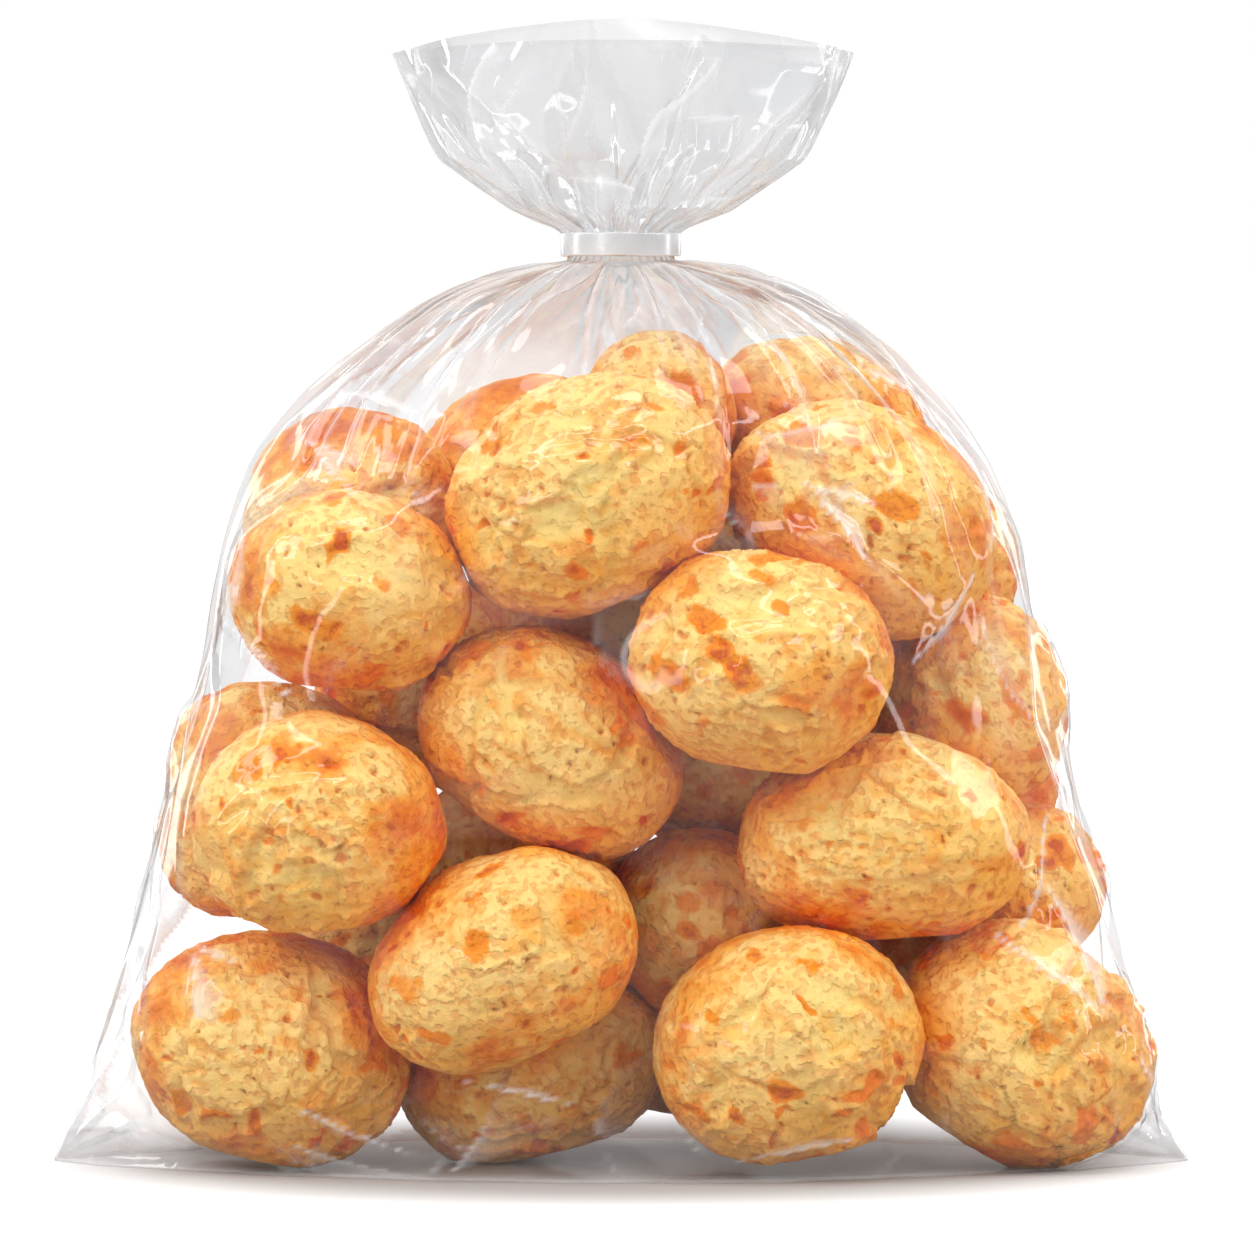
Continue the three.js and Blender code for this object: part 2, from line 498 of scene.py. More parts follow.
# Middle (x, y, z), half width and half height in mm, tilt in degrees as seen from the front,
# how toasted it is, and how torn. Those against the front come first.
ballPlaces = [
    (-5, -17, 129.5, 28.2, 22.9, 24, 0.30, 0.9),
    (-52, -26, 113, 23.4, 20.2, -4, 0.62, 0.2),
    (-12, -26, 84, 27.4, 20.8, -33, 0.45, 0.6),
    (27, -38, 99.5, 25.6, 22.0, -8, 0.40, 0.5),
    (45.5, -20, 124.5, 27.5, 21.7, -28, 0.32, 0.5),
    (-57, -37, 67, 24.7, 21.8, 4, 0.40, 0.3),
    (48, -28, 67, 28.7, 20.8, 3, 0.42, 0.5),
    (-24.5, -38, 43, 27.3, 20.6, 27, 0.30, 0.3),
    (-67.5, -22, 23.5, 27.1, 23.3, -12, 0.50, 0.4),
    (-16, -6, 18.5, 27.5, 19.0, 14, 0.45, 0.2),
    (33.5, -36, 25.5, 25.8, 23.1, 12, 0.35, 0.5),
    (77, -24, 23.5, 26.5, 23.4, -32, 0.35, 0.8),
    (-53, 14, 128, 21.0, 19.5, 20, 0.72, 0.3),
    (-15.5, 24, 135.5, 22.3, 20, 20, 0.40, 0.3),
    (2, 25, 142.5, 15.2, 17.5, 0, 0.45, 0.3),
    (42, 23, 138, 22, 17.3, -18, 0.50, 0.3),
    (61.5, 24, 114, 15.5, 17, 0, 0.45, 0.3),
    (66, 4, 90, 18.2, 21.6, 8, 0.40, 0.4),
    (77.5, 8, 51.5, 17.0, 17.0, 0, 0.45, 0.3),
    (62, 22, 34, 19, 18, 0, 0.50, 0.3),
    (15, 4, 50, 19, 18.5, 0, 0.50, 0.3),
    (17, 23, 74, 20, 18, 0, 0.60, 0.3),
    (40, 26, 95, 20, 18, 0, 0.50, 0.3),
    (-10, 15, 105, 20, 18.0, 0, 0.45, 0.3),
    (-62, 6, 78, 21, 17.5, -14, 0.60, 0.3),
    (-74, 18, 61, 17, 17.5, 0, 0.55, 0.3),
    (-22, 18, 61, 21, 18, 0, 0.55, 0.3),
    (-50, 26, 39, 20, 18, 0, 0.50, 0.3),
    (-37, 27, 93, 22.5, 22.0, 10, 0.60, 0.3),
    (8, 36, 24, 24, 20, -6, 0.50, 0.3),
    (21, 32, 116, 14, 14.5, 0, 0.40, 0.3),
    (40, 32, 62, 20, 18.5, 12, 0.45, 0.3),
    (-20, 36, 23, 19.5, 18, -10, 0.55, 0.3),
    (-74, 20, 20, 17, 16.5, 0, 0.50, 0.3),
    (-54, 28, 105, 13.5, 14.5, 0, 0.55, 0.3),
    (-10, 38, 82, 18, 17, 15, 0.45, 0.3),
    (64, 26, 70, 17.5, 17, 0, 0.50, 0.3),
]
ball = {
    "front": 12,         # how many press against the front of the bag
    "detail": 58,        # quads along a side of the round cage, front balls
    "backDetail": 27,
    "deep": 0.90,        # depth against the mean of width and height
    "keyLampWay": (-0.40, -0.62, 0.68),  # way towards the key lamp, where each ball is painted palest
    "deepestPaintedShade": 0.78,     # how deep the painted shade is on the opposite side
    "touch": 0.985,      # how near neighbours settle
    "rounds": 400,
    "push": 0.35,        # share of an overlap that one round takes away
    "giveFront": (0.12, 1.0, 0.12),   # how freely they move aside, in x, y and z
    "giveBack": (0.35, 1.0, 0.35),
    "pullFront": (0.15, 0.02, 0.15),  # how strongly they are drawn back to their place
    "pullBack": (0.06, 0.01, 0.06),
    "neighbours": 75,    # mm between middles within which two balls can touch
    "lowest": 0.25,      # mm above the surface
    "heights": (100, 122, 145),    # mm, where the heap gets less deep towards the neck
    "halfDepths": (56, 52, 43),
    "lump": 1.0,         # mm of slow unevenness
    "ripple": 0.42,
    "crumbly": 0.24,
    "fibre": 0.70,       # mm of torn, flaky relief
    "tearDeep": 1.7,
    "pitDeep": 1.25,
    "pits": 300,
    "cheeseSpots": 60,
}


def ballAxes(tilt):
    lean = math.radians(tilt)
    return np.array([
        (math.cos(lean), 0, math.sin(lean)),
        (0, 1, 0),
        (-math.sin(lean), 0, math.cos(lean)),
    ])


def reach(radii, axes, way):
    # how far an egg-shaped ball goes towards a neighbour: between its radius and its support
    turned = np.einsum("...i,...ji->...j", way, axes)
    support = np.sqrt(((turned * radii) ** 2).sum(-1))
    radius = 1 / np.sqrt(((turned / radii) ** 2).sum(-1))
    return (support + radius) / 2


def settleBalls():
    # push overlapping neighbours apart, and let each drift back towards where it was put
    table = np.array(ballPlaces, float)
    centres = table[:, :3].copy()
    radii = np.stack([table[:, 3], table[:, 3:5].mean(1) * ball["deep"], table[:, 4]], axis=1)
    axes = np.array([ballAxes(tilt) for tilt in table[:, 5]])
    wanted = centres.copy()
    count = len(centres)
    front = np.arange(count)[:, None] < ball["front"]
    give = np.where(front, ball["giveFront"], ball["giveBack"])
    pull = np.where(front, ball["pullFront"], ball["pullBack"])
    for turn in range(ball["rounds"]):
        away = centres[None] - centres[:, None]
        gap = np.linalg.norm(away, axis=2) + np.eye(count)
        way = away / gap[..., None] + np.eye(count)[..., None] * (0, 0, 1)
        need = reach(radii[:, None], axes[:, None], way) + reach(radii[None], axes[None], -way)
        over = np.clip(need * ball["touch"] - gap, 0, None) * (1 - np.eye(count))
        push = (way * over[..., None]).sum(0) * ball["push"]
        centres += push * give + (wanted - centres) * pull * (1 - turn / ball["rounds"])
        low = np.sqrt(((axes[:, :, 2] * radii) ** 2).sum(1))
        centres[:, 2] = np.maximum(centres[:, 2], low - 0.4)
        side = np.sqrt(((axes[:, :, 1] * radii) ** 2).sum(1))
        limit = np.interp(centres[:, 2], ball["heights"], ball["halfDepths"]) - side
        centres[:, 1] = np.clip(centres[:, 1], -limit, limit)
    moved = np.linalg.norm((centres - wanted)[:, [0, 2]], axis=1)
    print("balls settled, deepest overlap", round(float(over.max()), 2), "mm, moved", np.round(moved, 1))
    return centres, radii, axes


def roundCage(steps):
    # a cube blown up into a ball of even quads: unit directions and faces
    line = np.tan(np.linspace(-1, 1, steps + 1) * math.pi / 4)
    across, up = np.meshgrid(line, line, indexing="ij")
    index = np.arange((steps + 1) ** 2).reshape(steps + 1, steps + 1)
    quads = np.stack([index[:-1, :-1], index[1:, :-1], index[1:, 1:], index[:-1, 1:]], -1).reshape(-1, 4)
    points, faces = [], []
    for axis in range(3):
        for sign in (-1, 1):
            side = np.stack([np.full_like(across, sign), across, up * sign], -1).reshape(-1, 3)
            faces.append(quads + len(points) * len(side))
            points.append(np.roll(side, axis, axis=1))
    points = np.concatenate(points)
    points /= np.linalg.norm(points, axis=1, keepdims=True)
    whole, back = np.unique(np.round(points, 6), axis=0, return_inverse=True)
    return whole / np.linalg.norm(whole, axis=1, keepdims=True), back.reshape(-1)[np.concatenate(faces)]


def randomWays(draw, count):
    ways = draw.normal(size=(count, 3))
    return ways / np.linalg.norm(ways, axis=1, keepdims=True)


def plateBorders(skin, ways, radii):
    # distance to the nearest border between crust plates
    far = np.linalg.norm(skin[:, None] - ways[None] * radii, axis=2)
    near = np.partition(far, 1, axis=1)
    return (near[:, 1] - near[:, 0]) / 2


def dentMask(skin, ways, radii, sizes, draw):
    # soft oval marks scattered over the crust, the deepest one wins
    mask = np.zeros(len(skin))
    for way, size in zip(ways, sizes):
        away = skin - way * radii
        near = np.nonzero((away ** 2).sum(1) < (size * 3) ** 2)[0]
        along = np.cross(way, draw.normal(size=3))
        along /= np.linalg.norm(along)
        stretch = draw.uniform(1.0, 2.1)
        sides = away[near] @ np.stack([along / stretch, np.cross(way, along), way * 0.6], axis=1)
        mask[near] = np.maximum(mask[near], 1 - ease(0.35, 1.0, np.linalg.norm(sides, axis=1) / size))
    return mask


def crustRelief(cage, radii, toasted, torn, seed):
    draw = np.random.default_rng(seed)
    skin = cage * radii
    shift = draw.uniform(-500, 500, 3)
    field = skin + shift
    warp = noiseVector(field, 6.5, seed) * 1.7 + noiseVector(field, 2.1, seed + 50) * 0.75
    height = softNoise(field, 19, seed + 1) * ball["lump"] + roughNoise(field, 7.5, seed + 2) * ball["ripple"]

    # torn crust: plates of skin with ragged gaps between them, over one part of the ball
    tearWay = randomWays(draw, 1)[0] * 0.6 + np.array((draw.uniform(-0.4, 0.4), -1, draw.uniform(-0.3, 0.3)))
    tearWay /= np.linalg.norm(tearWay)
    region = ease(0.05, 0.75, cage @ tearWay + 0.5 * softNoise(field, 13, seed + 3) + torn - 0.5)
    border = plateBorders(skin + warp, randomWays(draw, 30), radii)
    width = 0.35 + 2.7 * ease(-0.35, 0.75, softNoise(field, 9, seed + 4)) * region
    tear = (1 - ease(0.5, 1.0, border / width)) * region
    lip = np.exp(-((border - width * 1.2) / 0.45) ** 2) * region
    deep = ball["tearDeep"] * (0.25 + 0.75 * ease(0.4, 2.2, width)) + 0.5 * softNoise(field, 2.2, seed + 5)
    height += lip * 0.42 - tear * deep

    # flaky relief in the rough parts, smoother plates between them
    rough = ease(-0.35, 0.5, roughNoise(field, 9, seed + 10, 2) + 0.35 * region)
    stretched = (field + warp * 0.6) * (0.62, 1, 1.25)
    flake = 1 - 2.2 * np.abs(softNoise(stretched, 2.9, seed + 11))
    flake -= 0.9 * np.abs(softNoise(stretched, 1.5, seed + 12))
    flake = np.clip(flake, -1, 1)
    height += ball["fibre"] * rough * flake * (0.28 + 0.3 * region)

    # pits, and cheese that melted through and browned
    warped = skin + warp * 0.5
    ways = randomWays(draw, ball["pits"])
    dense = 0.45 + 0.55 * ease(-0.4, 0.5, roughNoise(ways * radii + shift, 9, seed + 10, 2))
    pitSizes = draw.uniform(0.45, 1.12, ball["pits"]) ** 2 * dense
    pits = dentMask(warped, ways, radii, pitSizes, draw)
    spots = ball["cheeseSpots"]
    spotWays = randomWays(draw, spots)
    spotSizes = draw.uniform(0.75, 1.95, spots) ** 2 * 1.15
    cheese = dentMask(skin + warp, spotWays, radii, spotSizes, draw)
    cheese *= 0.85 + 0.45 * softNoise(field, 5, seed + 13)
    height -= pits * ball["pitDeep"] * (0.65 + 0.35 * softNoise(field, 11, seed + 6))
    height += cheese * (roughNoise(field, 1.9, seed + 7) * 0.5 - 0.15)
    height += roughNoise(field, 2.2, seed + 8, 2) * ball["crumbly"] * (0.5 + 0.5 * rough)

    toastWay = randomWays(draw, 1)[0] + np.array((0, -0.2, 0.9))
    toastWay /= np.linalg.norm(toastWay)
    toast = 0.30 * (cage @ toastWay) + 0.65 * roughNoise(field, 10, seed + 9) + toasted - 0.36
    toast += 0.22 * roughNoise(field, 3.2, seed + 14, 2) - 0.35 * region * (1 - tear)
    golden = 0.10 + 0.35 * ease(-0.1, 0.6, softNoise(field, 7, seed + 15))
    # the hollows of the flaky relief and the narrow cracks are painted darker, as shade
    pitsAndPaintedHollowShade = np.maximum(pits, rough * ease(0.1, -0.8, flake) * golden)
    pitsAndPaintedHollowShade = np.maximum(pitsAndPaintedHollowShade, 0.55 * tear * ease(1.5, 0.6, width))  # narrow cracks get painted shade in the pit colour
    # painted shade in flake hollows and narrow cracks, for the deeper orange
    paintedHollowShade = np.maximum(0.45 * rough * ease(0.1, -0.8, flake), 0.4 * tear * ease(1.6, 0.6, width))
    masks = {"toast": np.clip(toast, 0, 1.2), "tear": tear, "pit": pitsAndPaintedHollowShade, "cheese": cheese, "paintedShade": paintedHollowShade}
    return height, masks


def makeBalls(material):
    centres, radii, axes = settleBalls()
    cages = {steps: roundCage(steps) for steps in (ball["detail"], ball["backDetail"])}
    pieces = []
    shells = []
    for number, row in enumerate(ballPlaces):
        cage, quads = cages[ball["detail"] if number < ball["front"] else ball["backDetail"]]
        height, masks = crustRelief(cage, radii[number], row[6], row[7], 100 + number * 17)
        out = cage / radii[number]
        out /= np.linalg.norm(out, axis=1, keepdims=True)
        local = cage * radii[number] + out * height[:, None]
        foot = -0.9 * radii[number][2]  # a flatter underside
        local[:, 2] = np.maximum(local[:, 2], foot + 0.25 * (local[:, 2] - foot))
        points = local @ axes[number] + centres[number]
        outward = out @ axes[number]
        # painted shade grows on the side away from the key lamp
        paintedShade = ball["deepestPaintedShade"] * (1 - ease(-0.45, 0.92, outward @ np.array(ball["keyLampWay"])))
        for other in range(len(centres)):  # soft bread flattens where two balls press together
            if other == number:
                continue
            away = centres[other] - centres[number]
            gap = np.linalg.norm(away)
            if gap > ball["neighbours"]:
                continue
            way = away / gap
            mine = reach(radii[number], axes[number], way)
            theirs = reach(radii[other], axes[other], -way)
            plane = gap * mine / (mine + theirs) - 0.1
            over = np.clip((points - centres[number]) @ way - plane, 0, None)
            points -= over[:, None] * way
            room = np.linalg.norm(points - centres[other], axis=1) - theirs
            # painted shade where a neighbouring ball comes near
            paintedShade = np.maximum(paintedShade, 1 - ease(0.5, 12, room))
        masks["paintedShade"] = np.clip(paintedShade + masks["paintedShade"] * (1 - paintedShade), 0, 1)
        points[:, 2] = np.maximum(points[:, 2], ball["lowest"])
        piece = meshPiece(f"cheese_ball_{number + 1:02d}", points, quads, material, masks)
        pieces.append(piece)
        shells.append((points, quads))
    print("cheese balls shaped:", len(pieces))
    return pieces, shells


film = {
    "columns": 392,
    "lowRows": 126,       # from the surface up to the fan height
    "highRows": 108,      # from there over the shoulders to the neck
    "fanHeight": 112,     # mm above the surface, where the rows start to fan in to the neck
    "flatness": 0.55,     # depth against width of the bag
    "neckWide": 10.6,     # half width and half depth of the gathered neck
    "neckDeep": 6.3,
    "footDeep": 50,       # half depth where the bag lies on the surface
    "sag": 0.13,          # share by which the film sinks into the hollows between balls
    "clearance": 0.25,    # mm between the film and a ball that it presses on
    "soften": 1.1,        # mm over which it comes off a ball
    "rayReach": 165,      # mm from the middle, outside everything
    "lowest": 0.1,        # mm above the surface
    "longCreases": 44,
    "shortCreases": 90,
}


def outermost(tree, origins, ways, far):
    # distance from each origin to the outermost hit, seen from outside
    found = np.zeros(len(ways))
    for index, (origin, way) in enumerate(zip(origins, ways)):
        hit = tree.ray_cast(Vector(origin + way * far), Vector(-way), far)
        if hit[0] is not None:
            found[index] = far - hit[3]
    return found


def blur(grid, times):
    for _ in range(times):
        grid = (np.roll(grid, 1, axis=1) + 2 * grid + np.roll(grid, -1, axis=1)) / 4
        padded = np.concatenate([grid[:1], grid, grid[-1:]])
        grid = (padded[:-2] + 2 * grid + padded[2:]) / 4
    return grid


def triangleLattice(across, up):
    # the lattice row and column, how far up and along in it, and whether its row is shifted
    row = np.floor(up).astype(np.int64)
    rise = up - row
    odd = row % 2
    slanted = across - 0.5 * odd - 0.5 * rise
    column = np.floor(slanted).astype(np.int64)
    return row, column, rise, slanted - column, odd


def facets(across, up, columns, seed):
    # crumpled film: random heights on a lattice of triangles, flat between sharp creases
    row, column, rise, part, odd = triangleLattice(across, up)

    def tall(columnAt, rowAt):
        cells = np.stack([columnAt % columns, rowAt, rowAt * 0], axis=-1)
        return latticeValue(cells, seed)

    base, baseNext = tall(column, row), tall(column + 1, row)
    tip, tipNext = tall(column + odd, row + 1), tall(column + 1 + odd, row + 1)
    upright = base * (1 - part - rise) + baseNext * part + tip * rise
    hanging = baseNext * (1 - rise) + tipNext * (part + rise - 1) + tip * (1 - part)
    return np.where(part + rise < 1, upright, hanging)


def facetMarks(across, up, columns, seed, share):
    # a random painted shade for each flat facet, and on a share of them a painted glint that fades from one
    # crease
    row, column, rise, part = triangleLattice(across, up)[:4]
    upright = part + rise < 1
    cells = np.stack([column % columns, row, upright.astype(np.int64)], axis=-1)
    tone, side, lit = [latticeValue(cells, seed + number) / 2 + 0.5 for number in (60, 61, 62)]
    weights = np.where(upright, [1 - part - rise, part, rise], [1 - rise, part + rise - 1, 1 - part])
    first = np.minimum((side * 3).astype(np.int64), 2)[None]
    away = np.take_along_axis(weights, first, 0)[0]
    taper = np.take_along_axis(weights, (first + 1) % 3, 0)[0]
    glint = (0.45 * (1 - away) ** 3 + 0.55 * (1 - ease(0.01, 0.07, away))) * ease(0, 0.5, taper)
    return tone, glint * (lit < share)


def triangleWave(value):
    return 4 * np.abs(value - np.floor(value + 0.5)) - 1


def turnGap(angle, line):
    return np.abs((angle - line + math.pi) % (2 * math.pi) - math.pi)


def treeOf(points, faces):
    return BVHTree.FromPolygons(points.tolist(), [list(face) for face in faces])


def hullTree(shells):
    # tight wrap round all the balls, the neck and the footprint with its two pointed corners
    ring = np.linspace(0, 2 * math.pi, 96, endpoint=False)
    depth = np.sign(np.sin(ring)) * np.abs(np.sin(ring)) ** 1.9
    foot = np.stack([(earReach - 1) * np.cos(ring), film["footDeep"] * depth, ring * 0], 1)
    neckHeight = ring * 0 + neckLow - 0.8
    neck = np.stack([film["neckWide"] * np.cos(ring), film["neckDeep"] * np.sin(ring), neckHeight], 1)
    work = bmesh.new()
    for place in np.concatenate([points[::9] for points, quads in shells] + [foot, neck]):
        work.verts.new(place)
    made = bmesh.ops.convex_hull(work, input=work.verts)
    inside = [item for item in made["geom_interior"] if isinstance(item, bmesh.types.BMVert)]
    bmesh.ops.delete(work, geom=inside, context="VERTS")
    tree = BVHTree.FromBMesh(work)
    work.free()
    return tree


def shoulderTree():
    # the outline that the CAD bag gives, without its ruffle
    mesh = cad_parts["filled_bag"].data
    points = np.array([vertex.co for vertex in mesh.vertices]) / mm
    faces = [list(face.vertices) for face in mesh.polygons]
    return treeOf(points, [face for face in faces if points[face, 2].max() < neckLow - 0.5])


def filmRays(angle):
    # level rays up to the fan height, then rays that swing up to the neck
    side = np.stack([np.cos(angle), film["flatness"] * np.sin(angle)], 1)
    side /= np.linalg.norm(side, axis=1, keepdims=True)
    neck = np.stack([film["neckWide"] * np.cos(angle), film["neckDeep"] * np.sin(angle)], 1)
    top = np.arctan2(neckLow - 1.0 - film["fanHeight"], np.linalg.norm(neck, axis=1))
    neck /= np.linalg.norm(neck, axis=1, keepdims=True)
    origins, ways = [], []
    for height in np.linspace(0, 1, film["lowRows"]) ** 1.1 * film["fanHeight"]:
        origins.append(np.tile((0, 0, max(height, 0.3)), (len(angle), 1)))
        ways.append(np.column_stack([side, angle * 0]))
    for share in np.linspace(0, 1, film["highRows"] + 1)[1:]:
        level = side * (1 - share) + neck * share
        level /= np.linalg.norm(level, axis=1, keepdims=True)
        rise = (share * top)[:, None]
        origins.append(np.tile((0, 0, film["fanHeight"]), (len(angle), 1)))
        ways.append(np.column_stack([level * np.cos(rise), np.sin(rise)]))
    return np.concatenate(origins), np.concatenate(ways)


# The strong pulls that cross the shoulders: angle round the bag (270 is the front) in degrees, how
# far it drifts by the end, length, height and half width in mm.
shoulderPulls = [
    (203, 4, 84, 1.7, 2.0), (214, -3, 96, 2.0, 1.6), (224, 2, 118, 2.3, 1.8), (233, 5, 92, 1.7, 1.6),
    (246, -4, 60, 1.4, 1.5), (259, 3, 46, 1.3, 1.3), (281, -2, 44, 1.3, 1.3), (295, 4, 58, 1.5, 1.5),
    (306, -5, 84, 1.8, 1.6), (316, 3, 112, 2.1, 1.8), (327, 2, 124, 2.2, 1.9), (338, -4, 98, 1.8, 1.8),
    (22, 3, 90, 1.9, 1.8), (38, -4, 116, 2.2, 1.8), (55, 2, 76, 1.8, 1.6), (78, 4, 52, 1.4, 1.4),
    (101, -3, 60, 1.4, 1.4), (124, 3, 96, 2.0, 1.7), (140, -3, 120, 2.2, 1.9), (158, 4, 88, 1.8, 1.8),
]


def neckCreases(angle, down, radius):
    # folds that run out of the band: many short ones, some longer, and the strong pulls, with a painted
    # highlight line along each ridge
    draw = np.random.default_rng(11)
    relief = np.zeros_like(radius)
    paintedRidgeLines = np.zeros_like(radius)
    folds = []
    for number in range(film["longCreases"] + film["shortCreases"]):
        isLong = number < film["longCreases"]
        drift = draw.normal(0, 0.3) * (0.6 if isLong else 0.3)
        length = draw.uniform(45, 120) if isLong else draw.uniform(12, 46)
        tall = draw.uniform(0.5, 1.5) * draw.choice([-0.7, 1])
        folds.append((draw.uniform(0, 2 * math.pi), drift, length, tall, draw.uniform(0.9, 2.6)))
    for degrees, drift, length, tall, wide in shoulderPulls:
        folds.append((math.radians(degrees), math.radians(drift) * 2, length, tall, wide))
    for line, drift, length, tall, wide in folds:
        along = down / length
        fade = ease(-2, 8, down) * (1 - ease(0.35, 1, along))
        off = turnGap(angle[None], line + drift * along) * radius
        tent = np.clip(1 - off / (wide * (0.5 + down / 50)), 0, 1)
        relief += tall * fade * tent
        sharp = np.clip(1 - off / (0.55 + 0.004 * down), 0, 1)
        # a painted highlight line along the top of the fold
        paintedRidgeLines = np.maximum(paintedRidgeLines, fade * sharp * min(abs(tall) / 2, 1))
    return relief * np.clip(radius / 20, 0.25, 1), paintedRidgeLines


# Narrow kinks of loose film that catch the light, each with a painted glint on one side, on the front: x and
# z of both ends, half width and height in mm. The back gets the same ones turned round.
darts = [
    (80.5, 58, 92.5, 31, 5.0, 2.2), (71.5, 48, 93, 30, 2.4, 1.3), (82.5, 72, 76, 46, 2.0, 1.2),
    (61.5, 149, 70, 120, 4.2, 2.1), (68, 117, 55, 99, 2.6, 1.5), (34, 134, 51, 129, 2.4, 1.3),
    (34, 136, 49, 117, 4.0, 1.8), (84, 92, 88, 62, 2.2, 1.3), (-82, 46, -79, 28, 4.2, 1.9),
    (-84, 46, -73, 42, 1.6, 1.0), (-63, 144, -50, 131, 2.0, 1.2), (-79, 112, -62, 92, 1.8, 1.1),
    (-57, 152, -36, 146, 2.0, 1.3), (-86, 76, -91, 48, 1.9, 1.2), (-40, 5, -62, 14, 1.6, 0.9),
    (20, 4, 46, 9, 1.6, 0.9), (-96, 26, -104, 8, 2.0, 1.1), (97, 24, 104, 7, 2.0, 1.1),
    (45, 157, 60, 146, 1.9, 1.3), (-70, 128, -76, 104, 1.7, 1.1), (-30, 20, -8, 15, 1.4, 0.8),
]


def dartRelief(grid):
    relief = np.zeros(grid.shape[:2])
    white = np.zeros(grid.shape[:2])
    front = grid[..., 1] < 0
    for turned in (1, -1):
        mine = front if turned == 1 else ~front
        flat = grid[..., [0, 2]] * (turned, 1)
        for startX, startZ, endX, endZ, wide, tall in darts:
            start, end = np.array((startX, startZ)), np.array((endX, endZ))
            run = end - start
            along = ((flat - start) @ run) / (run @ run)
            off = (flat - start) @ np.array((-run[1], run[0])) / np.linalg.norm(run)
            taper = np.clip(np.minimum(along / 0.6, (1 - along) / 0.4), 0, 1) * mine
            tent = np.clip(1 - np.abs(off) / (wide * taper + 1e-6), 0, 1)
            relief += tall * taper * tent
            # a painted glint on one side of each kink
            white = np.maximum(white, (tent > 0.02) * (off > 0) * (0.25 + 0.75 * tent) * (taper > 0.02))
    return relief, white


def cornerCreases(place, sign, wobble):
    # creases that fan in from a pointed bottom corner
    away = place - (sign * earReach, 0, 0)
    far = np.linalg.norm(away, axis=-1)
    swing = np.degrees(np.arctan2(away[..., 2], np.hypot(away[..., 0], away[..., 1])))
    fan = triangleWave(swing / 17 + 0.3 * sign + 0.12 * wobble + 0.2 * (place[..., 1] > 0))
    return fan * ease(2, 20, far) * (1 - ease(34, 70, far))


